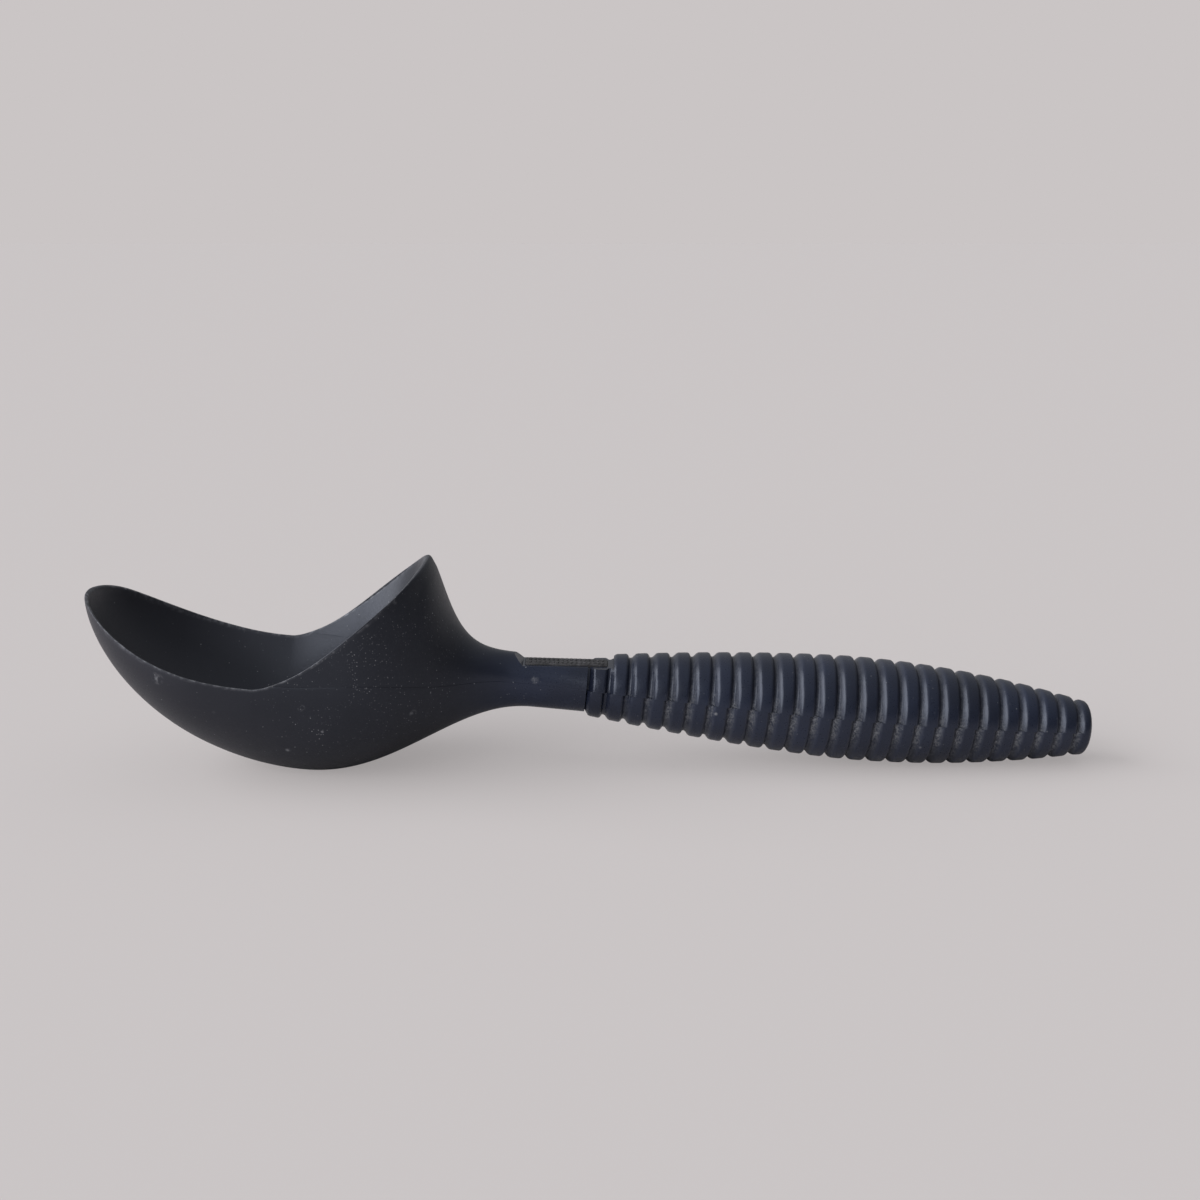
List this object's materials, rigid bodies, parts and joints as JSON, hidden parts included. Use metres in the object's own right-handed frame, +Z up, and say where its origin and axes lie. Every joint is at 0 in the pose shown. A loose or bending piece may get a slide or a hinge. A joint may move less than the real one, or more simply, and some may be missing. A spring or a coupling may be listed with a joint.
{
  "type": "ice cream scoop",
  "caption": "Dark plastic ice cream scoop with a deep pointed-heel bowl, a slim neck with a flat label land and a round ribbed handle.",
  "frame": {"origin": "on the table plane, under the middle of the scoop's bounding box, in its symmetry plane", "axes": "+X along the scoop from the bowl's tip to the handle's butt, +Z up from the table, the scoop resting on its bowl's flat base and its handle's belly"},
  "size_m": [0.2082, 0.0418, 0.0441],
  "materials": {
    "bowl_plastic": "charcoal black moulded plastic, matt, with fine scratches and pale specks",
    "grip_plastic": "blue-black moulded plastic with a soft sheen",
    "core_steel": "plain steel, hidden inside",
    "label_grey": "dark grey, matt and slightly rough"
  },
  "bodies": {
    "root": {"lower_moulding": "bowl_plastic", "upper_moulding": "grip_plastic", "core_bar": "core_steel", "label_plate": "label_grey"}
  },
  "joints": []
}
